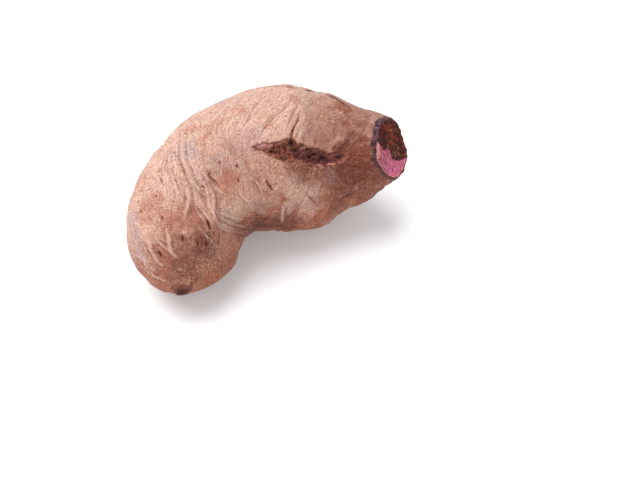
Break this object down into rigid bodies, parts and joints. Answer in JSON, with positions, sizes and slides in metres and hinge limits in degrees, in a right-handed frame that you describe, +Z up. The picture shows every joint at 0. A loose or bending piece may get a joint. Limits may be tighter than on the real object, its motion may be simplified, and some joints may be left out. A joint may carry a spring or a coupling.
{
  "type": "purple sweet potato",
  "caption": "Whole purple sweet potato: a bent, tapering root lying on its side, its neck trimmed at a slant to bare the flesh.",
  "frame": {"origin": "bottom centre of the root's bounding box, on the surface it lies on", "axes": "+Z up, +X along the root's longest extent towards the trimmed neck, +Y away from the hollow side of its bend"},
  "size_m": [0.1294, 0.1098, 0.0692],
  "materials": {
    "skin": "thin papery tan skin, dull, with pale grey-pink bloom, fine rings, folds, pits and brown cracks",
    "flesh": "dried cut face, pink-purple flesh below, dark brown corky fibre above, pale ring under the skin",
    "cork": "rough dark brown corky crust that lines the open scar and the torn root stub"
  },
  "bodies": {
    "root": {"sweet_potato": "skin"}
  },
  "joints": []
}
